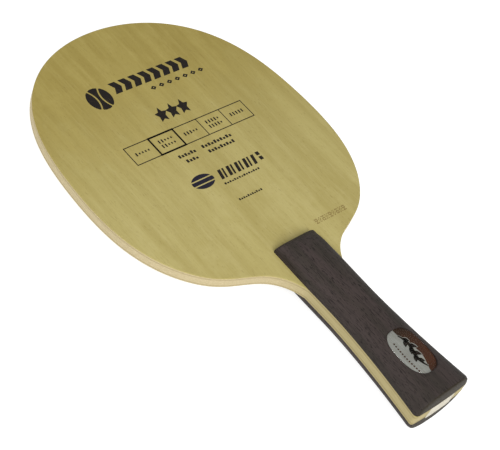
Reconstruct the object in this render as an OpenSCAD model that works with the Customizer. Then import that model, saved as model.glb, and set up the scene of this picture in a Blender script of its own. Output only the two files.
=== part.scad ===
// Table tennis blade: a bare five-ply wooden bat, without rubber sheets,
// with a flared grip made of two wood scales glued to the plies.
// Millimetres. X runs across the blade, Y from the butt to the tip and
// Z out of the front face. The origin is the middle of the bounding box.

/* [Head] */
// Widest measure across the head
head_width = 150; // [140:0.5:160]
// From the top end of the grip to the tip of the head
head_height = 156.5; // [150:0.5:166]
// How much longer than wide the head outline is
head_oval = 0.062; // [0:0.0001:0.12]
// How much fuller the tip end is than the neck end
head_egg = 0.010; // [0:0.0001:0.04]
// How square the shoulders of the outline are
head_square = 0.0222; // [0:0.0001:0.04]
// Angle from the tip at which the outline turns into the neck
neck_start = 140; // [130:1:144]
// Distance below the grip top where the neck runs into the grip
neck_end = 25.8; // [18:0.5:34]
// Angle between the neck and the grip flank where they meet
neck_angle = 20.8; // [0:0.5:30]
// Pull of the neck curve at its head end
neck_pull_head = 21.8; // [10:0.5:30]
// Pull of the neck curve at its grip end
neck_pull_grip = 25; // [10:0.5:30]

/* [Plies] */
// Thickness of each outer ply
outer_ply = 0.8; // [0.4:0.05:1.5]
// Thickness of each inner ply
inner_ply = 0.6; // [0.3:0.05:1.5]
// Thickness of the middle ply
core_ply = 3.4; // [2:0.1:5]

/* [Grip] */
// Length of the grip, top end to butt
grip_length = 103.5; // [90:0.5:110]
// Width of the grip near its top end
shoulder_width = 26.4; // [24:0.1:32]
// Width of the grip at its narrowest
waist_width = 26; // [23:0.1:30]
// Width of the grip across the butt
butt_width = 37.4; // [26:0.1:40]
// Distance from the grip top to the narrowest place
waist_at = 42; // [30:0.5:60]
// How late the flare starts, a higher number is later
flare_power = 1.63; // [1:0.01:3]
// Bow of the butt end, middle to corner
butt_bow = 0.7; // [0:0.1:3]
// Size of the rounded butt corners of the plies
ply_corner = 1.8; // [0.5:0.1:5]

/* [Grip scales] */
// Depth by which a scale is let into its outer ply
seat_depth = 0.05; // [0.05:0.05:0.4]
// Height of one scale above the ply at the waist
scale_height = 8.7; // [5:0.1:11]
// Extra height of one scale at the butt
butt_swell = 0.7; // [0:0.1:3]
// Fullness of the rounded section, 2 is an ellipse
section_power = 2.6; // [2:0.1:5]
// Length of the rounded run-up at the top end
top_run = 10.7; // [4:0.5:20]
// Fullness of the rounded run-up at the top end
top_power = 2.3; // [2:0.1:4]
// Fullness of the section right at the top end
end_power = 5; // [2:0.1:8]
// Length over which the section settles from that to the usual one
end_blend = 5; // [2:0.5:20]
// Length of the rounded edge at the butt
butt_run = 0.8; // [0.4:0.1:6]
// Fullness of the rounded edge at the butt
butt_power = 3; // [2:0.1:6]
// Size of the rounded corners at the top end of a scale
top_corner = 1; // [0.5:0.1:6]
// Size of the rounded corners at the butt of a scale
butt_corner = 2.6; // [0.5:0.1:6]

/* [Badge] */
// Width of the oval badge
badge_width = 17; // [10:0.5:22]
// Length of the oval badge
badge_length = 26; // [14:0.5:34]
// Fullness of the badge outline, 2 is an ellipse
badge_power = 2.7; // [2:0.1:5]
// Distance from the grip top to the middle of the badge
badge_at = 78.5; // [50:0.5:88]
// Depth of the badge pocket below the middle of the scale
badge_depth = 2.2; // [1.6:0.1:3]
// Thickness of the badge plate
plate_thickness = 0.7; // [0.4:0.1:1.5]
// Thickness of the silver foil on the badge plate
foil_thickness = 0.15; // [0.1:0.05:0.4]
// Thickness of the clear cover at its rim
lens_rim = 0.4; // [0.2:0.1:1]
// Extra thickness of the clear cover at its middle
lens_rise = 0.4; // [0.1:0.1:1]
// Gap between the badge pieces and the pocket wall
badge_gap = 0.1; // [0.05:0.05:0.3]
// Sideways swing of the wavy edge of the foil
wave_swing = 1.6; // [0:0.1:2]

/* [Butt label] */
// Width of the paper label on the butt end
label_width = 17; // [8:0.5:26]
// Height of the paper label
label_height = 8; // [4:0.5:14]
// Shift of the label towards the rear
label_shift = 0.6; // [0:0.1:3]
// Thickness of the paper
label_thickness = 0.15; // [0.1:0.05:0.5]

/* [Hidden] */
ply_stack = core_ply + 2 * (inner_ply + outer_ply);
half_stack = ply_stack / 2;
seat = half_stack - seat_depth;
total_length = head_height + grip_length;
grip_top = total_length / 2 - head_height;
head_unit = (head_width / 2) / max([for (a = [70:2:110]) head_shape(a) * sin(a)]);
head_y = total_length / 2 - head_unit * head_shape(0);
badge_y = grip_top - badge_at;
badge_floor = half_stack + rise(badge_at) - badge_depth;
plate_top = badge_floor + plate_thickness;
foil_top = plate_top + foil_thickness;

// ---- outline of the plies --------------------------------------------------

// Head outline as a share of its mean radius, at an angle from the tip.
function head_shape(a) =
    1 + head_oval * cos(2 * a) + head_egg * cos(3 * a) - head_square * cos(4 * a);

function head_at(a) = head_unit * head_shape(a) * [sin(a), cos(a)] + [0, head_y];

function unit(v) = v / norm(v);

function bezier(p, t) =
    pow(1 - t, 3) * p[0] + 3 * pow(1 - t, 2) * t * p[1]
    + 3 * (1 - t) * t * t * p[2] + pow(t, 3) * p[3];

function bend(p, t) = (1 - t) * (1 - t) * p[0] + 2 * (1 - t) * t * p[1] + t * t * p[2];

// Half width of the grip at a distance below its top end.
function grip_half(s) =
    s < waist_at
    ? waist_width / 2 + (shoulder_width - waist_width) / 2
      * pow(sin(180 * (waist_at - s) / waist_at), 2)
    : waist_width / 2 + (butt_width - waist_width) / 2
      * pow((s - waist_at) / (grip_length - waist_at), flare_power);

// Distance of the bowed butt edge from its lowest line.
function bow(x) = butt_bow * pow(2 * x / butt_width, 2);

function butt_at(x) = [x, bow(x) - total_length / 2];

neck_from = head_at(neck_start);
neck_to = [grip_half(neck_end), grip_top - neck_end];
neck_curve = [
    neck_from,
    neck_from + neck_pull_head * unit(head_at(neck_start + 0.2) - head_at(neck_start - 0.2)),
    neck_to + neck_pull_grip * [sin(neck_angle), cos(neck_angle)],
    neck_to
];

flank_end = grip_length - bow(butt_width / 2) - ply_corner;
corner_curve = [
    [grip_half(flank_end), grip_top - flank_end],
    butt_at(butt_width / 2),
    butt_at(grip_half(flank_end) - ply_corner)
];

// Right half of the outline, from the tip down to the middle of the butt.
right_side = concat(
    [for (a = [0:2:neck_start - 2]) head_at(a)],
    [for (i = [0:20]) bezier(neck_curve, i / 20)],
    [for (s = [neck_end + 3:3:flank_end - 2]) [grip_half(s), grip_top - s]],
    [for (i = [0:5]) bend(corner_curve, i / 5)],
    [for (x = [16:-2:2]) butt_at(x)]
);

module blade_outline() {
    left_side = [for (i = [len(right_side) - 1:-1:1]) [-right_side[i][0], right_side[i][1]]];
    polygon(concat(right_side, [butt_at(0)], left_side));
}

module ply(bottom, thickness) {
    translate([0, 0, bottom])
        linear_extrude(thickness)
            blade_outline();
}

// Outer ply of the front, with the shallow seat for its scale.
module seated_ply() {
    difference() {
        ply(half_stack - outer_ply, outer_ply);
        translate([0, 0, seat])
            linear_extrude(outer_ply)
                seat_outline();
    }
}

// ---- grip scales -----------------------------------------------------------

// Height of a scale above the ply, along the middle of the grip.
function rise(s) =
    scale_height + (s < waist_at ? 0 : butt_swell
    * pow((s - waist_at) / (grip_length - waist_at), flare_power));

// Stations along the scale, close together over both rounded ends.
top_rows = [for (i = [0:9]) top_run * (1 - cos(9 * i))];
mid_rows = [for (i = [1:22]) top_run + (grip_length - top_run - butt_run) * i / 23];
butt_rows = [for (i = [3:-1:0]) grip_length - butt_run * (1 - pow(cos(30 * i), 2 / butt_power))];
rows = concat(top_rows, mid_rows, butt_rows);

// Share of the full height reached at a station.
function end_share(s) =
    s < top_run
    ? pow(max(0, 1 - pow(1 - s / top_run, top_power)), 1 / top_power)
    : s > grip_length - butt_run
      ? pow(max(0, 1 - pow(1 - (grip_length - s) / butt_run, butt_power)), 1 / butt_power)
      : 1;

// Half width of a scale, with its rounded corners taken off.
function corner_cut(e, r) = e < r ? r - sqrt(r * r - (r - e) * (r - e)) : 0;

function scale_half(s) =
    grip_half(s) - corner_cut(s, top_corner) - corner_cut(grip_length - s, butt_corner);

// Section points from flank to flank over the crown.
section_steps = 24;

function section_angle(i, start) = start + (180 - 2 * start) * i / section_steps;

function fullness(s) =
    section_power + (end_power - section_power) * pow(max(0, 1 - s / end_blend), 2);

function section_point(s, i) =
    let (full = half_stack + rise(s),
         power = fullness(s),
         start = asin(pow(seat / full, power / 2)),
         a = section_angle(i, start),
         wide = scale_half(s) / pow(cos(start), 2 / power),
         x = wide * sign(cos(a)) * pow(abs(cos(a)), 2 / power),
         z = full * pow(sin(a), 2 / power))
    [i == section_steps / 2 ? 0 : x,
     grip_top - s + bow(x) * pow(s / grip_length, 6),
     (i == 0 || i == section_steps) ? seat : seat + (z - seat) * end_share(s)];

// Foot line of a scale down to where the neck runs into the grip, widened
// below that so that it clears the flanks and the butt.
module seat_outline() {
    foot = [for (s = rows) if (s < neck_end) section_point(s, 0)];
    beside = butt_width;
    below = -total_length;
    right = concat([for (p = foot) [p[0], p[1]]], [neck_to, [beside, neck_to[1]], [beside, below]]);
    left = [for (i = [len(right) - 1:-1:0]) [-right[i][0], right[i][1]]];
    polygon(concat(right, left));
}

// The two triangles of one skin cell, split along the diagonal that
// leans away from the nearest corner of the scale.
function cell(a, b, leans) =
    leans ? [[a, b + 1, a + 1], [a, b, b + 1]] : [[a, b, a + 1], [a + 1, b, b + 1]];

// One scale as a skin of rows over a flat underside.
module scale_body() {
    row_count = len(rows);
    across = section_steps + 1;
    middle = section_steps / 2;
    butt_row = (row_count - 1) * across;
    points = [for (s = rows) for (i = [0:section_steps]) section_point(s, i)];
    skin = [for (j = [0:row_count - 2]) for (i = [0:section_steps - 1])
            let (a = j * across + i, leans = (i < middle) == (j < row_count / 2))
            for (f = cell(a, a + across, leans)) f];
    top_fan = [for (i = [0:section_steps - 1])
               [i, i + 1, across + (i < middle ? 0 : section_steps)]];
    butt_fan = [for (i = [0:section_steps - 1])
                [butt_row + i + 1, butt_row + i,
                 butt_row - across + (i < middle ? 0 : section_steps)]];
    strips = [for (j = [1:row_count - 3])
              [j * across, j * across + section_steps,
               (j + 1) * across + section_steps, (j + 1) * across]];
    ends = [[middle, across + section_steps, across],
            [butt_row + middle, butt_row - across, butt_row - across + section_steps]];
    underside = concat(top_fan, strips, ends, butt_fan);
    polyhedron(points = points, faces = concat(skin, underside), convexity = 4);
}

// ---- badge -----------------------------------------------------------------

function fuller(v) = sign(v) * pow(abs(v), 2 / badge_power);

function oval(half_w, half_l, a) = [half_w * fuller(cos(a)), badge_y + half_l * fuller(sin(a))];

module badge_oval(gap) {
    polygon([for (a = [0:5:355]) oval(badge_width / 2 - gap, badge_length / 2 - gap, a)]);
}

// Foil edge: one slow wave that swells towards the butt end.
function foil_edge(t) =
    [wave_swing * (1 - cos(360 * pow(t, 1.3))),
     badge_y + (badge_length / 2 + 1) * (1 - 2 * t)];

module foil_outline() {
    intersection() {
        badge_oval(2 * badge_gap);
        polygon(concat(
            [for (i = [0:24]) foil_edge(i / 24)],
            [[-badge_width, badge_y - badge_length], [-badge_width, badge_y + badge_length]]
        ));
    }
}

// Clear cover: a thin oval cap, rounded down to its rim.
module lens_body() {
    rings = 6;
    around = 72;
    half_w = badge_width / 2 - badge_gap;
    half_l = badge_length / 2 - badge_gap;
    shell = [for (k = [0:rings]) for (i = [0:around - 1])
             let (t = 90 * k / rings, p = oval(half_w * cos(t), half_l * cos(t), 360 * i / around))
             if (k < rings) [p[0], p[1], foil_top + lens_rim + lens_rise * sin(t)]];
    base = [for (i = [0:around - 1])
            let (p = oval(half_w, half_l, 360 * i / around)) [p[0], p[1], foil_top]];
    top = [[0, badge_y, foil_top + lens_rim + lens_rise]];
    points = concat(base, shell, top);
    walls = [for (k = [0:rings - 1]) for (i = [0:around - 1]) for (h = [0:1])
             let (a = k * around + i, b = k * around + (i + 1) % around)
             h == 0 ? [a, b + around, b] : [a, a + around, b + around]];
    last = rings * around;
    cap = [for (i = [0:around - 1]) [last + i, len(points) - 1, last + (i + 1) % around]];
    underside = [for (i = [0:around - 1]) i];
    polyhedron(points = points, faces = concat(walls, cap, [underside]), convexity = 2);
}

// ---- named pieces ----------------------------------------------------------

module front_outer_ply() {
    color([0.70, 0.64, 0.40])
        seated_ply();
}

module front_inner_ply() {
    color([0.74, 0.66, 0.47])
        ply(core_ply / 2, inner_ply);
}

module core_ply_body() {
    color([0.79, 0.73, 0.55])
        ply(-core_ply / 2, core_ply);
}

module rear_inner_ply() {
    color([0.74, 0.66, 0.47])
        ply(-core_ply / 2 - inner_ply, inner_ply);
}

module rear_outer_ply() {
    color([0.70, 0.64, 0.40])
        mirror([0, 0, 1])
            seated_ply();
}

module front_grip_scale() {
    color([0.27, 0.22, 0.20])
        difference() {
            scale_body();
            translate([0, 0, badge_floor])
                linear_extrude(2 * badge_depth)
                    badge_oval(0);
        }
}

module rear_grip_scale() {
    color([0.27, 0.22, 0.20])
        mirror([0, 0, 1])
            scale_body();
}

module badge_plate() {
    color([0.27, 0.15, 0.10])
        translate([0, 0, badge_floor])
            linear_extrude(plate_thickness)
                badge_oval(badge_gap);
}

module badge_foil() {
    color([0.62, 0.63, 0.60])
        translate([0, 0, plate_top])
            linear_extrude(foil_thickness)
                foil_outline();
}

module badge_lens() {
    color([0.85, 0.88, 0.88, 0.35])
        lens_body();
}

module butt_label() {
    half_label = label_width / 2;
    inner_line = [for (i = [0:8]) butt_at(half_label * (1 - i / 4))];
    outer_line = [for (i = [8:-1:0]) inner_line[i] - [0, label_thickness]];
    color([0.90, 0.87, 0.78])
        translate([0, 0, -label_height / 2 - label_shift])
            linear_extrude(label_height)
                polygon(concat(inner_line, outer_line));
}

front_outer_ply();
front_inner_ply();
core_ply_body();  // core_ply
rear_inner_ply();
rear_outer_ply();
front_grip_scale();
rear_grip_scale();
badge_plate();
badge_foil();
badge_lens();
butt_label();
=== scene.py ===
"""A bare five-ply wooden table tennis blade with a flared two-scale grip.

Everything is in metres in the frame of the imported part: X across the blade,
Y from the butt to the tip, Z out of the front face. Shapes are worked out in
millimetres and scaled by MM when a mesh is made.
"""

import math

import bmesh
import bpy
import numpy as np
from mathutils import Matrix, Vector


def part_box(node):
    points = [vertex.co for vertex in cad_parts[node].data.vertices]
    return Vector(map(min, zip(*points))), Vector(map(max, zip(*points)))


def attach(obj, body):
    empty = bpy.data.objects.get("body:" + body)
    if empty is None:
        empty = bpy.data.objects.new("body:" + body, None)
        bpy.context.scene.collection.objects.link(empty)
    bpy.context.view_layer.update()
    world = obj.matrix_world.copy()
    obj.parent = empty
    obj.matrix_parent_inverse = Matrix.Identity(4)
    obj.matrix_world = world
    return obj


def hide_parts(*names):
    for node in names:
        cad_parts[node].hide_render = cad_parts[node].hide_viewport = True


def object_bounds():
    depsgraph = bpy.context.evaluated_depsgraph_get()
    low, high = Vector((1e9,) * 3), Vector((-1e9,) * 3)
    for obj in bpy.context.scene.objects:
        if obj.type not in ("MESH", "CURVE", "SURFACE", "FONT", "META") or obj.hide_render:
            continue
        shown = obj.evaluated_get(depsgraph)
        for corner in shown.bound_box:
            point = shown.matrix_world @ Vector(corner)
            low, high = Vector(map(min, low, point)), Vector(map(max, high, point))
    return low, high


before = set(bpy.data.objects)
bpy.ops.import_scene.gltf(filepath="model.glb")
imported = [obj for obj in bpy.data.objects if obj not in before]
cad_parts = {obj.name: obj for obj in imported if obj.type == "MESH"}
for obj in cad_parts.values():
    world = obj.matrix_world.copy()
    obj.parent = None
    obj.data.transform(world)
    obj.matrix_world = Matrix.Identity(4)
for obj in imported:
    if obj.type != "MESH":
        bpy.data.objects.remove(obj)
cad_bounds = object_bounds()
scene = bpy.context.scene
MM = 0.001

# ---- sizes, in millimetres ---------------------------------------------------

CORE_LOW, CORE_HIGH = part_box("core_ply")
INNER_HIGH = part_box("front_inner_ply")[1]
OUTER_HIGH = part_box("front_outer_ply")[1]
_, SCALE_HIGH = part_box("front_grip_scale")
PLATE_LOW, PLATE_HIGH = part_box("badge_plate")
FOIL_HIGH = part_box("badge_foil")[1]
LENS_LOW, LENS_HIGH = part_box("badge_lens")
LABEL_LOW, LABEL_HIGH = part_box("butt_label")

TIP_Y = CORE_HIGH.y / MM
BUTT_Y = CORE_LOW.y / MM
GRIP_TOP = SCALE_HIGH.y / MM
GRIP_LENGTH = GRIP_TOP - BUTT_Y
HEAD_HALF = CORE_HIGH.x / MM
CORE_Z = CORE_HIGH.z / MM
INNER_Z = INNER_HIGH.z / MM
FACE_Z = OUTER_HIGH.z / MM

# The values down to BADGE_POWER repeat the part's own.
# Head: shares of the waves in its round outline.
HEAD_OVAL, HEAD_EGG, HEAD_SQUARE = 0.062, 0.010, 0.0222
# Neck: angle where it leaves the head, distance down the grip and slope where it ends,
# and the pull of its two ends.
NECK_START, NECK_END, NECK_ANGLE = 140.0, 25.8, 20.8
NECK_PULL_HEAD, NECK_PULL_GRIP = 21.8, 25.0
# Grip: half widths, where it is narrowest and how it flares below that, and its butt.
SHOULDER_HALF, WAIST_HALF, BUTT_HALF = 13.2, 13.0, 18.7
WAIST_AT, FLARE_POWER = 42.0, 1.63
BUTT_BOW, PLY_CORNER = 0.7, 1.8
# Scales: height over the ply and its gain at the butt, roundness of the section and the
# butt, lengths of the rounded ends, corner radii, and the squarer top end.
SCALE_RISE, BUTT_SWELL = 8.7, 0.7
SECTION_POWER, BUTT_POWER = 2.6, 3.0
TOP_RUN, BUTT_RUN = 10.7, 0.8
TOP_CORNER, BUTT_CORNER = 1.0, 2.6
TOP_POWER, END_POWER, END_BLEND = 2.3, 5.0, 5.0
BADGE_POWER = 2.7
# Sanded edge of the head: its radius, its rows, and the flat margin painted as face.
ARRIS, ARRIS_ROWS, FACE_MARGIN = 0.45, 7, 0.5


def cosd(a):
    return np.cos(np.radians(a))


def sind(a):
    return np.sin(np.radians(a))


# ---- mesh helpers --------------------------------------------------------------


def piece(name, verts, faces, materials, picks=None, stands_for=(), slot=None, smooth=True):
    """A mesh object from millimetre points, riding on the root body."""
    mesh = bpy.data.meshes.new(name)
    mesh.from_pydata([tuple(float(c) * MM for c in v) for v in verts], [], faces)
    for m in materials:
        mesh.materials.append(m)
    if picks is not None:
        mesh.polygons.foreach_set("material_index", picks)
    mesh.validate()
    obj = bpy.data.objects.new(name, mesh)
    scene.collection.objects.link(obj)
    finish_mesh(mesh, smooth)
    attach(obj, "root")
    if stands_for:
        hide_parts(*stands_for)
    return obj


def finish_mesh(mesh, smooth=True, angle=32, tidy=False):
    """Outward normals and smooth shading; tidy also drops slivers left by a cut."""
    work = bmesh.new()
    work.from_mesh(mesh)
    if tidy:
        bmesh.ops.triangulate(work, faces=[f for f in work.faces if len(f.verts) > 4])
        bmesh.ops.dissolve_degenerate(work, dist=2e-6, edges=work.edges)
    bmesh.ops.recalc_face_normals(work, faces=work.faces)
    work.to_mesh(mesh)
    work.free()
    mesh.polygons.foreach_set("use_smooth", [smooth] * len(mesh.polygons))
    if smooth:
        mesh.set_sharp_from_angle(angle=math.radians(angle))
    mesh.update()


def inset(loop, depth):
    """A closed counter-clockwise loop moved inwards by a depth at each point."""
    along = np.roll(loop, -1, 0) - np.roll(loop, 1, 0)
    along /= np.linalg.norm(along, axis=1)[:, None]
    inward = np.stack([-along[:, 1], along[:, 0]], 1)
    return loop + np.broadcast_to(depth, len(loop))[:, None] * inward


def loft(rings):
    """Points and faces of a skin over rings of equal length, with end caps."""
    n = len(rings[0])
    verts = np.concatenate(rings)
    faces = []
    for k in range(len(rings) - 1):
        for i in range(n):
            j = (i + 1) % n
            faces.append((k * n + i, k * n + j, (k + 1) * n + j, (k + 1) * n + i))
    faces.append(tuple(range(n - 1, -1, -1)))
    last = (len(rings) - 1) * n
    faces.append(tuple(last + i for i in range(n)))
    return verts, faces


def ring(loop, z):
    """A flat loop lifted to a height, or to one height at each point."""
    return np.column_stack([loop, np.broadcast_to(z, len(loop))])


# ---- outline of the plies ------------------------------------------------------


def head_shape(a):
    """Reach of the head at an angle from the tip, before it is scaled to size."""
    return 1 + HEAD_OVAL * cosd(2 * a) + HEAD_EGG * cosd(3 * a) - HEAD_SQUARE * cosd(4 * a)


_side = np.arange(70, 110.1, 0.5)
HEAD_UNIT = HEAD_HALF / np.max(head_shape(_side) * sind(_side))
HEAD_Y = TIP_Y - HEAD_UNIT * head_shape(0.0)


def head_at(a):
    """Points of the head's outline at angles from the tip."""
    r = HEAD_UNIT * head_shape(a)
    return np.stack([r * sind(a), r * cosd(a) + HEAD_Y], -1)


def grip_half(s):
    """Half width of the grip at a distance below its top end."""
    s = np.asarray(s, float)
    upper = WAIST_HALF + (SHOULDER_HALF - WAIST_HALF) * sind(180 * (WAIST_AT - s) / WAIST_AT) ** 2
    reach = np.clip((s - WAIST_AT) / (GRIP_LENGTH - WAIST_AT), 0, None)
    lower = WAIST_HALF + (BUTT_HALF - WAIST_HALF) * reach**FLARE_POWER
    return np.where(s < WAIST_AT, upper, lower)


def bow(x):
    """How far the butt draws back towards its corners."""
    return BUTT_BOW * (np.asarray(x) / BUTT_HALF) ** 2


def blade_loop():
    """The whole outline, counter-clockwise."""
    heading = head_at(NECK_START + 0.2) - head_at(NECK_START - 0.2)
    heading /= np.linalg.norm(heading)
    p0 = head_at(NECK_START)
    p3 = np.array([float(grip_half(NECK_END)), GRIP_TOP - NECK_END])
    p1 = p0 + NECK_PULL_HEAD * heading
    p2 = p3 + NECK_PULL_GRIP * np.array([sind(NECK_ANGLE), cosd(NECK_ANGLE)])
    t = np.linspace(0, 1, 61)[:, None]
    neck = (1 - t) ** 3 * p0 + 3 * (1 - t) ** 2 * t * p1 + 3 * (1 - t) * t * t * p2 + t**3 * p3
    end = GRIP_LENGTH - BUTT_BOW - PLY_CORNER
    s = np.arange(NECK_END + 1, end - 0.6, 1.0)
    flank = np.stack([grip_half(s), GRIP_TOP - s], 1)
    a = np.array([float(grip_half(end)), GRIP_TOP - end])
    b = np.array([BUTT_HALF, BUTT_Y + BUTT_BOW])
    c = np.array([a[0] - PLY_CORNER, BUTT_Y + bow(a[0] - PLY_CORNER)])
    t = np.linspace(0, 1, 9)[:, None]
    corner = (1 - t) ** 2 * a + 2 * (1 - t) * t * b + t * t * c
    x = np.arange(16.5, 0.1, -0.5)
    butt = np.stack([x, BUTT_Y + bow(x)], 1)
    right = np.vstack([head_at(np.arange(0, NECK_START, 0.5)), neck, flank, corner, butt])
    left = right[::-1][:-1] * [-1, 1]
    return np.vstack([right, [[0, BUTT_Y]], left])[::-1]


BLADE = blade_loop()
# Share of the sanded arris at each outline point: full on the head and the
# neck, next to none where the plies run flush into the grip scales.
_down = np.clip((BLADE[:, 1] - (GRIP_TOP - NECK_END)) / 5.0, 0, 1)
ARRIS_SHARE = 0.04 + 0.96 * _down * _down * (3 - 2 * _down)


def ply_piece(name, node, low, high, arris_up, slot, face_mat, edge_mat):
    """One ply. arris_up is 1 or -1 for an outer ply, 0 for a hidden one."""
    if arris_up == 0:
        rings = [ring(BLADE, low), ring(BLADE, high)]
        face_rows = 0
    else:
        depth = ARRIS * ARRIS_SHARE
        outer, joint = (high, low) if arris_up > 0 else (low, high)
        rings = [ring(BLADE, joint)]
        for a in np.linspace(0, 90, ARRIS_ROWS):
            loop = inset(BLADE, depth * (1 - cosd(a)))
            rings.append(ring(loop, outer - arris_up * depth * (1 - sind(a))))
        rings.append(ring(inset(BLADE, depth + FACE_MARGIN), outer))
        face_rows = 5
    verts, faces = loft(rings)
    # The last rows of skin and the cap show the face veneer, the rest its cut edge.
    picks = [1] * len(faces)
    if face_rows:
        first = (len(rings) - 1 - face_rows) * len(BLADE)
        last = (len(rings) - 1) * len(BLADE)
        picks[first:last] = [0] * (last - first)
        picks[-1] = 0
    return piece(name, verts, faces, [face_mat, edge_mat], picks, (node,), slot)


# ---- grip scales -----------------------------------------------------------------


def rise(s):
    """Height of a scale above its ply, along the middle of the grip."""
    reach = np.clip((np.asarray(s, float) - WAIST_AT) / (GRIP_LENGTH - WAIST_AT), 0, None)
    return SCALE_RISE + BUTT_SWELL * reach**FLARE_POWER


def end_share(s):
    """Share of the full height that the rounded ends leave at a station."""
    if s < TOP_RUN:
        return max(0.0, 1 - (1 - s / TOP_RUN) ** TOP_POWER) ** (1 / TOP_POWER)
    left = GRIP_LENGTH - s
    if left < BUTT_RUN:
        return max(0.0, 1 - (1 - max(0.0, left) / BUTT_RUN) ** BUTT_POWER) ** (1 / BUTT_POWER)
    return 1.0


def corner_cut(e, r):
    """Width taken off by a corner of radius r, at a distance e from the end."""
    return r - math.sqrt(r * r - (r - e) ** 2) if e < r else 0.0


def fullness(s):
    """Power of the rounded section, squarer right at the top end."""
    return SECTION_POWER + (END_POWER - SECTION_POWER) * max(0.0, 1 - s / END_BLEND) ** 2


def scale_section(s):
    """(full height, start angle, half width of the full section) of a scale at a station."""
    full = FACE_Z + float(rise(s))
    start = math.asin((FACE_Z / full) ** (fullness(s) / 2))
    half = float(grip_half(s)) - corner_cut(s, TOP_CORNER)
    half -= corner_cut(max(0.0, GRIP_LENGTH - s), BUTT_CORNER)
    return full, start, half / math.cos(start) ** (2 / fullness(s))


def surface_z(x, y):
    """Height of the front scale's surface over a point away from its ends."""
    full, _, wide = scale_section(GRIP_TOP - y)
    return full * max(0.0, 1 - (abs(x) / wide) ** SECTION_POWER) ** (1 / SECTION_POWER)


def scale_mesh():
    """The front scale: rows of section points from flank to flank, and a flat underside."""
    across, top_rows, middle_rows, butt_rows = 96, 30, 90, 10
    top = [TOP_RUN * (1 - math.cos(math.radians(a))) for a in np.linspace(0, 90, top_rows)]
    middle = list(np.linspace(TOP_RUN, GRIP_LENGTH - BUTT_RUN, middle_rows + 2)[1:-1])
    butt = [
        GRIP_LENGTH - BUTT_RUN * (1 - max(0.0, math.cos(math.radians(a))) ** (2 / BUTT_POWER))
        for a in np.linspace(90, 0, butt_rows)
    ]
    rows = top + middle + butt
    verts = []
    for s in rows:
        full, start, wide = scale_section(s)
        power = fullness(s)
        y = GRIP_TOP - s
        share = end_share(s)
        for i in range(across + 1):
            a = start + (math.pi - 2 * start) * i / across
            c, sn = math.cos(a), math.sin(a)
            x = math.copysign(wide * abs(c) ** (2 / power), c)
            z = full * sn ** (2 / power)
            foot = i in (0, across)
            drawn_back = float(bow(x)) * (s / GRIP_LENGTH) ** 6
            verts.append((x, y + drawn_back, FACE_Z if foot else FACE_Z + (z - FACE_Z) * share))
    wide_row = across + 1
    faces = []
    for j in range(len(rows) - 1):
        for i in range(across):
            a = j * wide_row + i
            b = a + wide_row
            if 0 < j < len(rows) - 2:
                faces.append((a, a + 1, b + 1, b))
            elif (i < across / 2) == (j == 0):
                faces += [(a, a + 1, b + 1), (a, b + 1, b)]
            else:
                faces += [(a, a + 1, b), (a + 1, b + 1, b)]
    last = (len(rows) - 1) * wide_row
    underside = list(range(across + 1))
    underside += [j * wide_row + across for j in range(1, len(rows) - 1)]
    underside += [last + i for i in range(across, -1, -1)]
    underside += [j * wide_row for j in range(len(rows) - 2, 0, -1)]
    faces.append(tuple(reversed(underside)))
    return verts, faces


# ---- badge -----------------------------------------------------------------------

BADGE_Y = (PLATE_LOW.y + PLATE_HIGH.y) / 2 / MM
BADGE_HALF_W = PLATE_HIGH.x / MM
BADGE_HALF_L = (PLATE_HIGH.y - PLATE_LOW.y) / 2 / MM
POCKET_GAP = 0.1
# The pocket's softened mouth: how far it opens, and how deep that starts.
MOUTH_FLARE, MOUTH_DEPTH = 0.28, 0.22
# Wavy edge of the foil: sideways swing, drift of the wave, reach past the plate.
WAVE_SWING, WAVE_POWER, WAVE_REACH = 1.6, 1.3, 1.1


def oval(grow, count=120):
    """Badge outline as a counter-clockwise loop, grown by a distance."""
    a = np.arange(count) * 360.0 / count
    c, s = cosd(a), sind(a)
    x = (BADGE_HALF_W + grow) * np.sign(c) * np.abs(c) ** (2 / BADGE_POWER)
    y = (BADGE_HALF_L + grow) * np.sign(s) * np.abs(s) ** (2 / BADGE_POWER)
    return np.stack([x, BADGE_Y + y], 1)


def pocket_cutter():
    """The closed shape that cuts the badge pocket, reaching well above the scale."""
    wall = oval(POCKET_GAP)
    flare = oval(POCKET_GAP + MOUTH_FLARE)
    over = oval(POCKET_GAP + 0.6)
    lip = np.array([surface_z(x, y) for x, y in wall]) - MOUTH_DEPTH
    brim = np.array([surface_z(x, y) for x, y in flare])
    above = np.array([surface_z(x, y) for x, y in over]) + 0.4
    floor = PLATE_LOW.z / MM
    rings = [ring(wall, floor), ring(wall, lip), ring(flare, brim)]
    rings += [ring(over, above), ring(over, 20.0)]
    return loft(rings)


def foil_edge_x(y):
    """Wavy lengthwise edge of the foil."""
    t = (BADGE_Y + BADGE_HALF_L + WAVE_REACH - y) / (2 * (BADGE_HALF_L + WAVE_REACH))
    return WAVE_SWING * (1 - np.cos(2 * np.pi * np.clip(t, 0, 1) ** WAVE_POWER))


# ---- materials -------------------------------------------------------------------


def linear(r, g, b):
    """Linear colour of an 8-bit sRGB one."""
    out = []
    for v in (r, g, b):
        v /= 255
        out.append(v / 12.92 if v <= 0.04045 else ((v + 0.055) / 1.055) ** 2.4)
    return (*out, 1.0)


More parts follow.
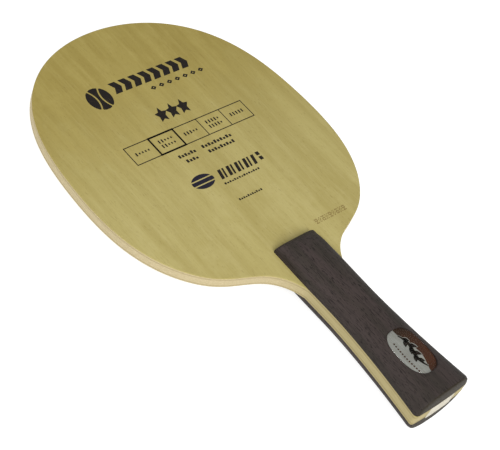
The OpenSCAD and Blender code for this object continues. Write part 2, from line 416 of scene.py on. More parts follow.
class Tree:
    """A material under construction."""

    def __init__(self, name):
        self.material = bpy.data.materials.new(name)
        self.material.use_nodes = True
        self.nodes = self.material.node_tree.nodes
        self.links = self.material.node_tree.links
        self.shader = self.nodes["Principled BSDF"]
        self.output = self.nodes["Material Output"]
        self._place = None

    def add(self, kind, inputs=None, **props):
        n = self.nodes.new(kind)
        for k, v in props.items():
            setattr(n, k, v)
        for k, v in (inputs or {}).items():
            self.put(n.inputs[k], v)
        return n

    def put(self, socket, value):
        if isinstance(value, bpy.types.NodeSocket):
            self.links.new(value, socket)
        else:
            socket.default_value = value

    def set(self, **inputs):
        for k, v in inputs.items():
            self.put(self.shader.inputs[k.replace("_", " ")], v)

    def place(self):
        """Object coordinates in millimetres."""
        if self._place is None:
            where = self.add("ShaderNodeTexCoord").outputs["Object"]
            to_mm = (1 / MM,) * 3
            scaled = self.add("ShaderNodeVectorMath", {0: where, 1: to_mm}, operation="MULTIPLY")
            self._place = scaled.outputs[0]
        return self._place

    def height(self):
        """Distance along the blade, butt to tip, in the same millimetres."""
        return self.add("ShaderNodeSeparateXYZ", {0: self.place()}).outputs["Y"]

    def math(self, op, a, b=0.0, c=None, clamp=False):
        inputs = {0: a, 1: b}
        if c is not None:
            inputs[2] = c
        return self.add("ShaderNodeMath", inputs, operation=op, use_clamp=clamp).outputs[0]

    def noise(self, size, detail=2.0, rough=0.5, shift=(0.0, 0.0, 0.0), vector=None):
        """Noise whose features measure size millimetres along each axis."""
        stretch = tuple(1.0 / v for v in size)
        vector = vector or self.place()
        moved = self.add(
            "ShaderNodeVectorMath", {0: vector, 1: stretch, 2: shift}, operation="MULTIPLY_ADD"
        ).outputs[0]
        return self.add(
            "ShaderNodeTexNoise",
            {"Vector": moved, "Scale": 1.0, "Detail": detail, "Roughness": rough},
        ).outputs["Fac"]

    def spread(self, value, low, high, to_low=0.0, to_high=1.0, smooth=True):
        """Value from low..high mapped to to_low..to_high, clamped."""
        return self.add(
            "ShaderNodeMapRange",
            {0: value, 1: low, 2: high, 3: to_low, 4: to_high},
            interpolation_type="SMOOTHSTEP" if smooth else "LINEAR",
        ).outputs[0]

    def blend(self, share, a, b, mode="MIX"):
        n = self.nodes.new("ShaderNodeMix")
        n.data_type = "RGBA"
        n.blend_type = mode
        self.put(n.inputs[0], share)
        self.put(n.inputs[6], a)
        self.put(n.inputs[7], b)
        return n.outputs[2]

    def bump(self, height, strength, distance):
        return self.add(
            "ShaderNodeBump", {"Height": height, "Strength": strength, "Distance": distance * MM}
        ).outputs[0]


def along_grain(tree, length=55.0, swirl=1.2):
    """Coordinates that wander slowly sideways, so that fibres aren't ruler straight."""
    drift = tree.noise((30.0, length, 30.0), detail=1.0, shift=(4.1, 2.3, 7.7))
    wander = tree.math("MULTIPLY_ADD", drift, swirl * 2, -swirl)
    sideways = tree.add("ShaderNodeCombineXYZ", {0: wander, 1: 0.0, 2: wander}).outputs[0]
    moved = tree.add("ShaderNodeVectorMath", {0: tree.place(), 1: sideways}, operation="ADD")
    return moved.outputs[0]


def face_veneer(name, shift):
    """Pale yellow veneer: soft lengthwise bands and streaks, fine fibres and a few short pores."""
    t = Tree(name)
    grain = along_grain(t)
    band = t.noise((7.0, 120.0, 7.0), 2.0, 0.55, shift=shift, vector=grain)
    streak = t.noise((2.1, 40.0, 2.1), 3.0, 0.6, shift=shift, vector=grain)
    fibre = t.noise((0.36, 9.0, 0.36), 3.0, 0.6, shift=shift, vector=grain)
    mottle = t.noise((9.0, 15.0, 9.0), 3.0, 0.65, shift=shift)
    ripple = t.noise((4.0, 1.3, 4.0), 2.0, 0.5, shift=shift)
    pore = t.noise((0.26, 2.6, 0.26), 1.0, 0.4, shift=shift, vector=grain)
    # Painted light: the veneer is painted lighter towards the butt and darker towards the tip, standing
    # in for light that falls off along the blade.
    drift = t.math("ADD", t.height(), t.math("MULTIPLY", t.math("SUBTRACT", mottle, 0.5), 90.0))
    low = t.spread(drift, 110.0, 10.0)
    deep = t.blend(low, linear(152, 135, 69), linear(166, 153, 93))
    mid = t.blend(low, linear(162, 146, 79), linear(176, 164, 104))
    pale = t.blend(low, linear(176, 161, 95), linear(187, 176, 120))
    colour = t.blend(t.spread(band, 0.32, 0.68), deep, mid)
    colour = t.blend(t.spread(streak, 0.46, 0.78, 0.0, 0.42), colour, pale)
    colour = t.blend(t.spread(mottle, 0.42, 0.72, 0.0, 0.36), colour, pale)
    colour = t.blend(t.spread(ripple, 0.45, 0.75, 0.0, 0.14), colour, deep)
    colour = t.blend(t.spread(fibre, 0.54, 0.30, 0.0, 0.22), colour, linear(146, 128, 62))
    pores = t.spread(pore, 0.67, 0.74, 0.0, 0.40)
    colour = t.blend(pores, colour, linear(118, 98, 50))
    rough = t.spread(fibre, 0.3, 0.7, 0.58, 0.72, smooth=False)
    relief = t.math("MULTIPLY_ADD", fibre, 0.6, t.math("MULTIPLY", pores, -1.2))
    t.set(Base_Color=colour, Roughness=rough, Normal=t.bump(relief, 0.35, 0.06))
    t.set(Specular_IOR_Level=0.22)
    return t.material


def ply_edge(name, light, dark, size, shift):
    """Cut edge of a ply: lines of grain and specks, with painted shade that makes it a little darker and
    yellower beside the grip.
    """
    t = Tree(name)
    line = t.noise(size, 3.0, 0.6, shift=shift)
    patch = t.noise((6.0, 9.0, 3.0), 2.0, 0.5, shift=shift)
    speck = t.noise(tuple(v * 0.4 for v in size), 2.0, 0.6, shift=shift)
    colour = t.blend(t.spread(line, 0.35, 0.68), dark, light)
    colour = t.blend(t.spread(patch, 0.40, 0.75, 0.0, 0.30), colour, dark)
    colour = t.blend(t.spread(speck, 0.60, 0.72, 0.0, 0.25), colour, linear(136, 116, 76))
    # Painted shade: the edge beside the grip is multiplied darker and yellower, standing in for the
    # weaker light on the grip's flanks.
    shade_beside_grip = t.spread(t.height(), GRIP_TOP - 5.0, GRIP_TOP - 35.0)
    painted_shade_tone = t.blend(1.0, colour, linear(224, 225, 208), mode="MULTIPLY")
    colour = t.blend(shade_beside_grip, colour, painted_shade_tone)
    rough = t.spread(line, 0.3, 0.7, 0.62, 0.78, smooth=False)
    t.set(Base_Color=colour, Roughness=rough, Normal=t.bump(line, 0.35, 0.08))
    t.set(Specular_IOR_Level=0.2)
    return t.material


def grip_wood(name, shift):
    """Dark brown open-pored wood, finely sanded: streaks, short pores and a soft sheen."""
    t = Tree(name)
    grain = along_grain(t, length=40.0)
    broad = t.noise((6.5, 50.0, 6.5), 2.0, 0.5, shift=shift, vector=grain)
    streak = t.noise((0.8, 16.0, 0.8), 3.0, 0.6, shift=shift, vector=grain)
    fibre = t.noise((0.24, 4.5, 0.24), 2.0, 0.6, shift=shift, vector=grain)
    pore = t.noise((0.30, 2.6, 0.30), 1.0, 0.4, shift=shift, vector=grain)
    other = (shift[2], shift[0], shift[1])
    long_pore = t.noise((0.42, 6.0, 0.42), 1.0, 0.4, shift=other, vector=grain)
    green, pink, dark = linear(53, 48, 43), linear(64, 55, 53), linear(39, 34, 32)
    colour = t.blend(t.spread(broad, 0.36, 0.62), green, pink)
    colour = t.blend(t.spread(streak, 0.56, 0.34, 0.0, 0.50), colour, dark)
    colour = t.blend(t.spread(fibre, 0.48, 0.75, 0.0, 0.32), colour, linear(72, 63, 57))
    short_pores, long_pores = t.spread(pore, 0.62, 0.69), t.spread(long_pore, 0.645, 0.70)
    pores = t.math("MAXIMUM", short_pores, long_pores, clamp=True)
    colour = t.blend(t.math("MULTIPLY", pores, 0.75), colour, linear(22, 19, 18))
    # Painted shade: darker towards the butt, standing in for the sheen that is brightest over the middle
    # of the grip.
    painted_shade_to_butt = t.spread(t.height(), -40.0, BUTT_Y, 0.0, 0.35)
    colour = t.blend(painted_shade_to_butt, colour, linear(46, 41, 39))
    # The butt face is darker and more olive: partly the end grain's own darker tone, partly painted
    # shade against the lamp that lights the butt.
    end_grain_and_shade = t.spread(t.height(), BUTT_Y + 1.6, BUTT_Y + 0.5)
    colour = t.blend(end_grain_and_shade, colour, linear(46, 40, 29))
    sanded = t.spread(fibre, 0.3, 0.7, 0.56, 0.66, smooth=False)
    rough = t.math("MULTIPLY_ADD", pores, 0.2, sanded)
    relief = t.math("MULTIPLY_ADD", fibre, 0.35, t.math("MULTIPLY", pores, -1.0))
    t.set(Base_Color=colour, Roughness=rough, Normal=t.bump(relief, 0.55, 0.08))
    t.set(Specular_IOR_Level=0.14)
    return t.material


def ink(name, colour, worn):
    """Printed ink that lets the fibres through a little."""
    t = Tree(name)
    grain = along_grain(t)
    gap = t.noise((0.22, 2.6, 0.22), 2.0, 0.6, vector=grain)
    patch = t.noise((1.6, 2.2, 1.6), 2.0, 0.5)
    wear = t.math("MULTIPLY", t.spread(gap, 0.55, 0.75), t.spread(patch, 0.3, 0.7, 0.4, 1.0))
    tone = t.blend(t.math("MULTIPLY", wear, worn), colour, linear(120, 106, 66))
    t.set(Base_Color=tone, Roughness=t.spread(gap, 0.3, 0.7, 0.42, 0.58, smooth=False))
    t.set(Normal=t.bump(gap, 0.3, 0.03), Specular_IOR_Level=0.15)
    return t.material


def rust_plate():
    """Printed rust brown insert, with painted shade that darkens its upper end."""
    t = Tree("rust_plate")
    cloud = t.noise((3.0, 4.0, 3.0), 2.0, 0.5)
    # Painted shade: darker towards the upper end, standing in for the shadow of the pocket wall.
    upper = t.spread(t.height(), BADGE_Y - 4.0, BADGE_Y + BADGE_HALF_L)
    colour = t.blend(t.spread(cloud, 0.3, 0.7), linear(62, 35, 20), linear(67, 38, 22))
    colour = t.blend(t.math("MULTIPLY", upper, 0.85), colour, linear(42, 29, 17))
    t.set(Base_Color=colour, Roughness=t.spread(cloud, 0.3, 0.7, 0.34, 0.44, smooth=False))
    t.set(Specular_IOR_Level=0.2)
    return t.material


def silver_foil():
    """Brushed silver print, slightly clouded."""
    t = Tree("silver_foil")
    brush = t.noise((0.10, 4.0, 0.10), 2.0, 0.6)
    cloud = t.noise((2.5, 3.5, 2.5), 2.0, 0.5)
    colour = t.blend(t.spread(brush, 0.3, 0.7), linear(136, 138, 133), linear(168, 170, 166))
    colour = t.blend(t.spread(cloud, 0.35, 0.7, 0.0, 0.25), colour, linear(140, 138, 126))
    t.set(Base_Color=colour, Roughness=t.spread(brush, 0.3, 0.7, 0.34, 0.50, smooth=False))
    t.set(Metallic=0.55, Normal=t.bump(brush, 0.15, 0.02))
    return t.material


def clear_cover(name, bending):
    """Clear resin that lets light through to the badge under it."""
    t = Tree(name)
    haze = t.noise((1.4, 2.2, 1.4), 2.0, 0.5)
    rough = t.spread(haze, 0.4, 0.8, 0.0, 0.015, smooth=False)
    t.set(Base_Color=(0.98, 0.98, 0.97, 1.0), Roughness=rough, IOR=bending)
    t.shader.inputs["Transmission Weight"].default_value = 1.0
    rays = t.add("ShaderNodeLightPath").outputs
    open_way = t.add("ShaderNodeBsdfTransparent", {"Color": (0.95, 0.95, 0.94, 1.0)}).outputs[0]
    surface = t.shader.outputs[0]
    for ray in ("Is Shadow Ray", "Is Diffuse Ray"):
        sides = {0: rays[ray], 1: surface, 2: open_way}
        surface = t.add("ShaderNodeMixShader", sides).outputs[0]
    t.links.new(surface, t.output.inputs["Surface"])
    return t.material


def label_paper():
    """Off-white paper with soft stains."""
    t = Tree("label_paper")
    fibre = t.noise((0.35, 0.35, 0.35), 3.0, 0.65)
    stain = t.noise((4.0, 4.0, 3.0), 2.0, 0.5)
    colour = t.blend(t.spread(stain, 0.35, 0.75), linear(198, 193, 178), linear(190, 184, 166))
    colour = t.blend(t.spread(fibre, 0.5, 0.8, 0.0, 0.3), colour, linear(178, 171, 150))
    t.set(Base_Color=colour, Roughness=t.spread(fibre, 0.3, 0.7, 0.74, 0.86, smooth=False))
    t.set(Normal=t.bump(fibre, 0.3, 0.04))
    return t.material


FACE_FRONT = face_veneer("face_veneer_front", (0.0, 0.0, 0.0))
FACE_REAR = face_veneer("face_veneer_rear", (31.0, 5.0, 17.0))
EDGE_OUTER = ply_edge(
    "ply_edge_outer", linear(194, 179, 141), linear(181, 165, 125), (0.5, 14.0, 0.22), (1.0, 2.0, 3.0)
)
EDGE_INNER = ply_edge(
    "ply_edge_inner", linear(183, 168, 129), linear(164, 148, 109), (9.0, 0.4, 0.2), (5.0, 1.0, 8.0)
)
EDGE_CORE = ply_edge(
    "ply_edge_core", linear(200, 185, 148), linear(185, 170, 131), (0.6, 16.0, 0.35), (9.0, 4.0, 2.0)
)
GRIP_FRONT = grip_wood("grip_wood_front", (0.0, 0.0, 0.0))
GRIP_REAR = grip_wood("grip_wood_rear", (13.0, 7.0, 21.0))
INK_BLACK = ink("ink_black", linear(27, 22, 20), 0.28)
INK_NAVY = ink("ink_navy", linear(29, 27, 42), 0.25)
INK_BROWN = ink("ink_brown", linear(116, 92, 50), 0.6)
RUST = rust_plate()
SILVER = silver_foil()
CLEAR = clear_cover("clear_cover", 1.10)
CLEAR_RIM = clear_cover("clear_cover_rim", 1.60)
PAPER = label_paper()

# ---- plies -------------------------------------------------------------------------

ply_piece("ply_core", "core_ply", -CORE_Z, CORE_Z, 0, "core_wood", EDGE_CORE, EDGE_CORE)
ply_piece(
    "ply_inner_front", "front_inner_ply", CORE_Z, INNER_Z, 0, "inner_veneer", EDGE_INNER, EDGE_INNER
)
ply_piece(
    "ply_inner_rear", "rear_inner_ply", -INNER_Z, -CORE_Z, 0, "inner_veneer", EDGE_INNER, EDGE_INNER
)
ply_piece(
    "ply_face_front", "front_outer_ply", INNER_Z, FACE_Z, 1, "face_veneer", FACE_FRONT, EDGE_OUTER
)
ply_piece(
    "ply_face_rear", "rear_outer_ply", -FACE_Z, -INNER_Z, -1, "face_veneer", FACE_REAR, EDGE_OUTER
)

# ---- scales --------------------------------------------------------------------------

scale_verts, scale_faces = scale_mesh()
front_scale = piece(
    "scale_front", scale_verts, scale_faces, [GRIP_FRONT], None, ("front_grip_scale",), "grip_wood"
)
piece(
    "scale_rear",
    [(x, y, -z) for x, y, z in scale_verts],
    [tuple(reversed(f)) for f in scale_faces],
    [GRIP_REAR],
    None,
    ("rear_grip_scale",),
    "grip_wood",
)


def cut(obj, verts, faces):
    """Takes a closed shape out of a piece."""
    mesh = bpy.data.meshes.new("cutter")
    mesh.from_pydata([tuple(float(c) * MM for c in v) for v in verts], [], faces)
    finish_mesh(mesh, smooth=False)
    tool = bpy.data.objects.new("cutter", mesh)
    scene.collection.objects.link(tool)
    step = obj.modifiers.new("pocket", "BOOLEAN")
    step.operation = "DIFFERENCE"
    step.solver = "EXACT"
    step.object = tool
    bpy.context.view_layer.update()
    made = bpy.data.meshes.new_from_object(obj.evaluated_get(bpy.context.evaluated_depsgraph_get()))
    obj.modifiers.clear()
    old = obj.data
    obj.data = made
    bpy.data.meshes.remove(old)
    bpy.data.objects.remove(tool)
    bpy.data.meshes.remove(mesh)
    finish_mesh(made, angle=28, tidy=True)


cut(front_scale, *pocket_cutter())

# ---- badge parts -----------------------------------------------------------------------


def bevelled_prism(loop, low, high, edge):
    """A plate with a rounded upper edge."""
    rings = [ring(loop, low), ring(loop, high - edge)]
    for a in (30, 60, 90):
        rings.append(ring(inset(loop, edge * (1 - cosd(a))), high - edge * (1 - sind(a))))
    rings.append(ring(inset(loop, edge * 2.5), high))
    return loft(rings)


piece(
    "badge_base",
    *bevelled_prism(oval(0), PLATE_LOW.z / MM, PLATE_HIGH.z / MM, 0.12),
    [RUST],
    None,
    ("badge_plate",),
    "badge_plate",
)

# The foil: the badge's rim left of the wavy edge, from its upper to its lower end, then the edge.
foil_full = oval(-0.12, 240)
foil_rim = foil_full[foil_full[:, 0] < foil_edge_x(foil_full[:, 1]) - 0.02]
order = np.argsort(np.arctan2(foil_rim[:, 1] - BADGE_Y, foil_rim[:, 0]) % (2 * np.pi))
foil_rim = foil_rim[order]
wave_ys = np.linspace(foil_rim[-1][1] + 0.05, foil_rim[0][1] - 0.05, 80)
foil_loop = np.vstack([foil_rim, np.stack([foil_edge_x(wave_ys), wave_ys], 1)])
piece(
    "badge_silver",
    *loft([ring(foil_loop, PLATE_HIGH.z / MM - 0.01), ring(foil_loop, FOIL_HIGH.z / MM)]),
    [SILVER],
    None,
    ("badge_foil",),
    "badge_foil",
)


def lens_rings():
    """A clear cap: short wall, chamfered rim, then a low crown. Also the rim's range of faces."""
    base = FOIL_HIGH.z / MM + 0.06
    top = LENS_HIGH.z / MM
    wall = LENS_LOW.z / MM + 0.16
    chamfer = 0.42
    rings = [ring(oval(-0.3), base), ring(oval(-0.02), base)]
    rings += [ring(oval(0), base + 0.02), ring(oval(0), wall)]
    per_ring = len(rings[0])
    rim = range((len(rings) - 1) * per_ring, len(rings) * per_ring)
    rings.append(ring(oval(-chamfer), wall + chamfer))
    edge = oval(0) - [0, BADGE_Y]
    for inward in (0.07, 0.1, 0.13, 0.17, 0.22, 0.3, 0.4, 0.5, 0.62, 0.76, 0.9):
        height = wall + chamfer + (top - wall - chamfer) * (1 - (1 - inward) ** 5)
        rings.append(ring(edge * (1 - inward) + [0, BADGE_Y], height))
    return rings, rim


lens_loops, lens_rim = lens_rings()
lens_verts, lens_faces = loft(lens_loops)
piece(
    "badge_cover",
    lens_verts,
    lens_faces,
    [CLEAR, CLEAR_RIM],
    [int(i in lens_rim) for i in range(len(lens_faces))],
    ("badge_lens",),
    "badge_cover",
)

# ---- butt label ----------------------------------------------------------------------------


def label_mesh():
    """Thin paper that follows the bowed butt, with softly rounded corners."""
    half = LABEL_HIGH.x / MM
    low, high = LABEL_LOW.z / MM, LABEL_HIGH.z / MM
    thick = 0.13
    radius = 1.0
    corners = [(half, high), (-half, high), (-half, low), (half, low)]
    loop = []
    for k, (cx, cz) in enumerate(corners):
        sx, sz = math.copysign(1, cx), math.copysign(1, cz - (low + high) / 2)
        for j in range(7):
            a = math.radians(90 * k + 90 * j / 6)
            x = cx - sx * radius + radius * math.cos(a)
            loop.append((x, cz - sz * radius + radius * math.sin(a)))
    dense = []
    for (x0, z0), (x1, z1) in zip(loop, loop[1:] + loop[:1]):
        steps = max(1, int(abs(x1 - x0) / 0.8))
        dense += [(x0 + (x1 - x0) * i / steps, z0 + (z1 - z0) * i / steps) for i in range(steps)]
    dense = np.array(dense)
    mid_z = (low + high) / 2
    rings = []
    rows = [(1.0, -0.02), (1.0, thick * 0.7)] + [(share, thick) for share in (0.985, 0.66, 0.33, 0.02)]
    for share, depth in rows:
        x = dense[:, 0] * share
        z = mid_z + (dense[:, 1] - mid_z) * share
        rings.append(np.stack([x, BUTT_Y + bow(x) - depth, z], 1))
    return loft(rings)


piece("label_paper", *label_mesh(), [PAPER], None, ("butt_label",), "label_paper")

# ---- printed marks --------------------------------------------------------------------------


class Print:
    """Thin printed shapes collected into one piece."""

    def __init__(self, z, thick=0.03):
        self.z, self.thick = z, thick
        self.verts, self.faces = [], []

    def shape(self, loop):
        """A filled outline."""
        loop = [(float(x), float(y)) for x, y in loop]
        area = sum(a[0] * b[1] - b[0] * a[1] for a, b in zip(loop, loop[1:] + loop[:1]))
        if area < 0:
            loop.reverse()
        k, n = len(self.verts), len(loop)
        self.verts += [(x, y, self.z - 0.01) for x, y in loop]
        self.verts += [(x, y, self.z + self.thick) for x, y in loop]
        self.faces.append(tuple(k + i for i in range(n - 1, -1, -1)))
        self.faces.append(tuple(k + n + i for i in range(n)))
        for i in range(n):
            j = (i + 1) % n
            self.faces.append((k + i, k + j, k + n + j, k + n + i))

    def frame(self, outer, inner):
        """A closed band between two loops of equal length."""
        k, n = len(self.verts), len(outer)
        for loop in (outer, inner):
            self.verts += [(float(x), float(y), self.z - 0.01) for x, y in loop]
            self.verts += [(float(x), float(y), self.z + self.thick) for x, y in loop]
        for i in range(n):
            j = (i + 1) % n
            ob, ot, ib, it = k, k + n, k + 2 * n, k + 3 * n
            self.faces.append((ot + i, ot + j, it + j, it + i))
            self.faces.append((ob + j, ob + i, ib + i, ib + j))
            self.faces.append((ob + i, ob + j, ot + j, ot + i))
            self.faces.append((ib + j, ib + i, it + i, it + j))

    def bar(self, x0, y0, x1, y1, lean=0.0):
        """An upright block, leaning sideways by lean over its height."""
        self.shape([(x0, y0), (x1, y0), (x1 + lean, y1), (x0 + lean, y1)])

    def box(self, x0, y0, x1, y1, line):
        """An open rectangle drawn inwards with a line width."""

        def corners(x0, y0, x1, y1):
            return [(x0, y0), (x1, y0), (x1, y1), (x0, y1)]

        inner = corners(x0 + line, y0 + line, x1 - line, y1 - line)
        self.frame(corners(x0, y0, x1, y1), inner)

    def blocks(self, x0, x1, y, height, count):
        """A row of small blocks with the rhythm of a line of print."""
        step, fill = (x1 - x0) / count, 0.68
        for i in range(count):
            left = x0 + i * step
            tall = height * (1.0, 0.72, 0.9, 0.6)[i % 4]
            self.bar(left, y, left + step * fill, y + tall)

    def done(self, name, material):
        """Turns the collected shapes into a piece."""
        piece(name, self.verts, self.faces, [material], smooth=False)


def ellipse(cx, cy, rx, ry, count):
    """An oval outline."""
    a = np.arange(count) * 360.0 / count
    return np.stack([cx + rx * cosd(a), cy + ry * sind(a)], 1)


def star(cx, cy, rx, ry, inner, lean):
    """A five-pointed star; inner is the reach of its notches, lean tilts it sideways."""
    pts = []
    for k in range(10):
        r = 1.0 if k % 2 == 0 else inner
        a = 90 + 36 * k
        dy = ry * r * sind(a)
        pts.append((cx + rx * r * cosd(a) + lean * dy, cy + dy))
    return pts


def between(left, right, y0, y1):
    """The outline between two side curves, x as a function of y."""
    ys = np.linspace(y0, y1, 25)
    return [(left(y), y) for y in ys] + [(right(y), y) for y in ys[::-1]]


# Ball with two seams, then a run of chevrons.
title = Print(FACE_Z)
ball_x, ball_y, ball_w, ball_h = -27.3, 89.2, 6.9, 7.6


def ball_half(y):
    """Half width of the ball at a height."""
    return ball_w * math.sqrt(max(0.0, 1 - ((y - ball_y) / ball_h) ** 2))


def seam(y):
    """Distance of either seam from the ball's middle line."""
    return 1.4 + 2.6 * ((y - ball_y) / ball_h) ** 2


seam_reach = 0.80 * ball_h
title.shape(
    between(
        lambda y: ball_x - min(seam(y), ball_half(y)) + 0.45,
        lambda y: ball_x + min(seam(y), ball_half(y)) - 0.45,
        ball_y - ball_h * 0.97,
        ball_y + ball_h * 0.97,
    )
)
for side in (-1, 1):
    title.shape(
        between(
            lambda y, s=side: ball_x + s * ball_half(y),
            lambda y, s=side: ball_x + s * (seam(y) + 0.45),
            ball_y - seam_reach,
            ball_y + seam_reach,
        )
    )
for k in range(8):
    x = -17.4 + 6.3 * k
    y0, y1 = 88.2, 95.8
    mid, nose, wide = (y0 + y1) / 2, 1.9, 4.2
    lower = [(x, y0), (x + wide, y0), (x + wide + nose, mid)]
    title.shape(lower + [(x + wide, y1), (x, y1), (x + nose, mid)])
title.done("print_title", INK_BLACK)

# Small lozenges.
lozenges = Print(FACE_Z)
for k in range(7):
    x, y = 3.3 + 5.35 * k, 83.8
    outer = [(x + 1.8, y), (x, y + 1.4), (x - 1.8, y), (x, y - 1.4)]
    inner = [(x + 0.5, y), (x, y + 0.4), (x - 0.5, y), (x, y - 0.4)]
    lozenges.frame(outer, inner)
lozenges.done("print_lozenges", INK_BLACK)

# Three stars.
stars = Print(FACE_Z)
for k in range(3):
    stars.shape(star(-5.0 + 7.1 * k, 67.0, 3.9, 5.1, 0.52, 0.12))
stars.done("print_stars", INK_BLACK)

# Five-step gauge: the second cell is picked out, and each cell has that many long ticks.
gauge = Print(FACE_Z)
cell, left, low, high = 15.64, -38.0, 45.4, 57.4
gauge.box(left, low, left + 5 * cell, high, 0.5)
for k in range(1, 5):
    gauge.bar(left + k * cell - 0.25, low + 0.5, left + k * cell + 0.25, high - 0.5)
bold = 1.0
gauge.box(left + cell - bold / 2, low - 0.2, left + 2 * cell + bold / 2, high + 0.2, bold)
for k in range(5):
    rows = ((low + high) / 2,) if k % 2 == 0 else ((low + high) / 2 + 1.6, (low + high) / 2 - 1.6)
    for y in rows:
        for j in range(5):
            x = left + cell * (k + 0.5) + (j - 2) * 1.9
            tall = 1.05 if j <= k else 0.55
            gauge.bar(x - 0.42, y - tall, x + 0.42, y + tall)
gauge.done("print_gauge", INK_BLACK)

# Two small captions of two rows each, then two thin lines.
captions = Print(FACE_Z)
captions.blocks(-15.9, -4.4, 39.7, 2.0, 6)
captions.blocks(-13.9, -6.0, 35.8, 2.0, 4)
captions.blocks(-0.5, 19.7, 39.9, 2.0, 10)
captions.blocks(0.8, 18.5, 36.0, 2.0, 9)
captions.blocks(-6.0, 17.8, 16.3, 1.2, 15)
captions.blocks(-6.2, 9.5, 5.2, 1.2, 11)
captions.done("print_captions", INK_BLACK)

# Striped oval and leaning bars.
emblem = Print(FACE_Z)
ex, ey, ew, eh = -14.9, 23.1, 6.8, 4.3


def oval_half(y):
    """Half width of the emblem's oval at a height."""
    return ew * math.sqrt(max(0.0, 1 - ((y - ey) / eh) ** 2))


for start, end in ((-1.0, -0.42), (-0.26, 0.26), (0.42, 1.0)):
    emblem.shape(
        between(
            lambda y: ex - oval_half(y),
            lambda y: ex + oval_half(y),
            ey + eh * start * 0.995,
            ey + eh * end * 0.995,
        )
    )
emblem.done("print_emblem", INK_NAVY)
bars = Print(FACE_Z)
for k in range(9):
    wide = 1.9 if k % 2 == 0 else 1.1
    x = -5.3 + 2.8 * k
    bars.bar(x, 19.6, x + wide, 25.4, 1.4)
bars.bar(22.0, 23.6, 24.2, 25.8)
bars.bar(22.0, 20.5, 24.2, 22.7)
bars.done("print_bars", INK_BLACK)

# Dot pattern beside the grip.
dots = Print(FACE_Z, 0.02)
for g in range(9):
    for i in range(3):
        for j in range(5):
            if (i * 2 + j * (g % 2 + 1) + g) % 4 != 1:
                x, y = 19.6 + 2.42 * g + 0.66 * i, -24.4 + 0.62 * j
                dots.shape(ellipse(x, y, 0.27, 0.27, 8))
dots.done("print_dots", INK_BROWN)

# Badge ornament: a stem with leaves along the wavy edge, over a pale halo.
BADGE_INK_Z = FOIL_HIGH.z / MM
STEM_TOP, STEM_LENGTH = BADGE_Y + 9.4, 19.2
stem_ys = np.linspace(STEM_TOP, STEM_TOP - STEM_LENGTH, 49)


def stem_x(y):
    """Middle of the stem at a height."""
    t = (STEM_TOP - y) / STEM_LENGTH
    return 0.1 + 1.2 * np.sin(2 * np.pi * t) + 1.0 * t


def leaf(root_y, side, length, width):
    """A pointed leaf that starts on the stem."""
    base = np.array([float(stem_x(root_y)), root_y])
    way = np.array([0.62 * side, -0.78])
    across = np.array([-way[1], way[0]])
    t = np.linspace(0, 1, 13)
    half = width * np.sin(np.pi * t**0.8)
    up = [base + way * length * a + across * h for a, h in zip(t, half)]
    down = [base + way * length * a - across * h for a, h in zip(t[::-1], half[::-1])]
    return up + down[1:-1]


# Leaves: place along the stem from the badge's middle, side, length.
LEAVES = (
    (7.2, 1, 3.4),
    (6.0, -1, 4.0),
    (3.4, 1, 4.2),
    (2.0, -1, 4.4),
    (-0.6, 1, 4.2),
    (-2.2, -1, 4.2),
    (-4.6, 1, 3.4),
)
halo = Print(BADGE_INK_Z, 0.015)
flourish = Print(BADGE_INK_Z, 0.03)
for shape, extra in ((halo, 0.28), (flourish, 0.0)):
    wide = 0.35 + extra + 0.60 * np.sin(np.linspace(0, np.pi, len(stem_ys)))
    edge_l = [(float(stem_x(y) - w), y) for y, w in zip(stem_ys, wide)]
    edge_r = [(float(stem_x(y) + w), y) for y, w in zip(stem_ys, wide)]
    shape.shape(edge_l + edge_r[::-1])
    for dy, side, length in LEAVES:
        shape.shape(leaf(BADGE_Y + dy + extra * 0.6, side, length + extra * 1.4, 1.05 + extra))
halo.done("badge_halo", SILVER)
flourish.done("badge_flourish", INK_BLACK)
studs = Print(BADGE_INK_Z, 0.02)
for k in range(12):
    x = -4.9 - 0.5 * math.sin(math.pi * k / 11)
    studs.shape(ellipse(x, BADGE_Y + 7.0 - 1.5 * k, 0.46, 0.5, 12))
studs.done("badge_studs", RUST)

# ---- stage, light and camera --------------------------------------------------------------

FLOOR_GAP, FLOOR_HALF, FLOOR_GLOW = 0.0002, 6.0, 0.86
DOME_GLOW = 0.56
WHITE = (1.0, 1.0, 1.0, 1.0)

CAMERA_PLACE = (-0.40593, -0.23418, 0.46502)
CAMERA_AHEAD = (0.60813, 0.34805, -0.71347)
CAMERA_UP = (0.35557, 0.68413, 0.63681)
CAMERA_LENS = 98.86


def stage_floor():
    """A matt white sheet under the paddle that fades into the backdrop."""
    t = Tree("floor")
    soft = t.noise((400.0, 400.0, 400.0), 1.0, 0.4)
    t.set(Base_Color=t.blend(soft, (0.34, 0.34, 0.34, 1.0), (0.36, 0.36, 0.36, 1.0)), Roughness=0.9)
    t.set(Specular_IOR_Level=0.0, Emission_Color=WHITE, Emission_Strength=FLOOR_GLOW)
    mesh = bpy.data.meshes.new("stage_floor")
    z = cad_bounds[0].z - FLOOR_GAP
    r = FLOOR_HALF
    mesh.from_pydata([(-r, -r, z), (r, -r, z), (r, r, z), (-r, r, z)], [], [(0, 1, 2, 3)])
    mesh.materials.append(t.material)
    floor = bpy.data.objects.new("stage_floor", mesh)
    scene.collection.objects.link(floor)


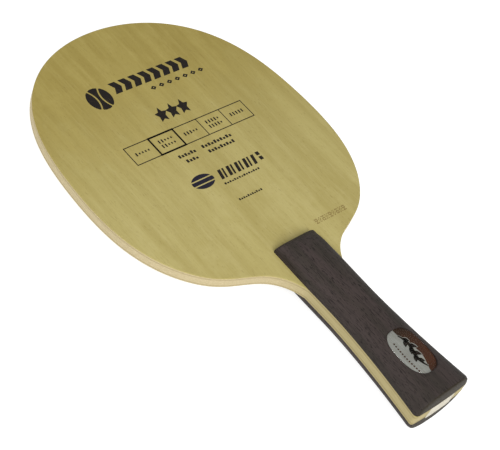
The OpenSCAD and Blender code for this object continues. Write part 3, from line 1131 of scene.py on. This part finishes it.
def studio():
    """A soft white dome that the camera sees as plain white."""
    world = bpy.data.worlds.new("studio")
    world.use_nodes = True
    sky = world.node_tree
    dome = sky.nodes["Background"]
    dome.inputs["Color"].default_value = WHITE
    dome.inputs["Strength"].default_value = DOME_GLOW
    backdrop = sky.nodes.new("ShaderNodeBackground")
    backdrop.inputs["Color"].default_value = WHITE
    backdrop.inputs["Strength"].default_value = 1.0
    chooser = sky.nodes.new("ShaderNodeMixShader")
    sight = sky.nodes.new("ShaderNodeLightPath")
    sky.links.new(sight.outputs["Is Camera Ray"], chooser.inputs[0])
    sky.links.new(dome.outputs[0], chooser.inputs[1])
    sky.links.new(backdrop.outputs[0], chooser.inputs[2])
    sky.links.new(chooser.outputs[0], sky.nodes["World Output"].inputs["Surface"])
    scene.world = world


def area_light(name, place, target, length_way, size, power, colour=(1.0, 1.0, 1.0)):
    """A soft box that faces target, its length lying as near to length_way as it can."""
    lamp = bpy.data.lights.new(name, "AREA")
    lamp.shape = "RECTANGLE"
    lamp.size, lamp.size_y = size
    lamp.energy = power
    lamp.color = colour
    obj = bpy.data.objects.new(name, lamp)
    back = (Vector(place) - Vector(target)).normalized()
    across = back.cross(Vector(length_way)).normalized()
    turned = Matrix((across.cross(back), across, back)).transposed().to_4x4()
    obj.matrix_world = Matrix.Translation(place) @ turned
    scene.collection.objects.link(obj)


def photo_camera():
    """The photograph's viewpoint."""
    lens = bpy.data.cameras.new("camera")
    lens.sensor_width = 36.0
    lens.lens = CAMERA_LENS
    lens.clip_start = 0.01
    camera = bpy.data.objects.new("camera", lens)
    forward = Vector(CAMERA_AHEAD).normalized()
    right = forward.cross(Vector(CAMERA_UP)).normalized()
    turn = Matrix((right, right.cross(forward), -forward)).transposed().to_4x4()
    camera.matrix_world = Matrix.Translation(CAMERA_PLACE) @ turn
    scene.collection.objects.link(camera)
    scene.camera = camera


stage_floor()
studio()
# A long strip that the badge's rim reflects, and a broad box beyond the butt.
area_light("side", (-0.677, 0.222, 0.585), (0.0, -0.105, 0.012), (0.21, 0.84, -0.23), (0.85, 0.10), 2.0)
area_light(
    "key", (-0.15, -0.55, 0.55), (0.0, -0.03, 0.0), (1.0, 0.0, 0.0), (0.5, 0.4), 4.0, (1.0, 0.985, 0.965)
)
photo_camera()
scene.view_settings.view_transform = "Standard"
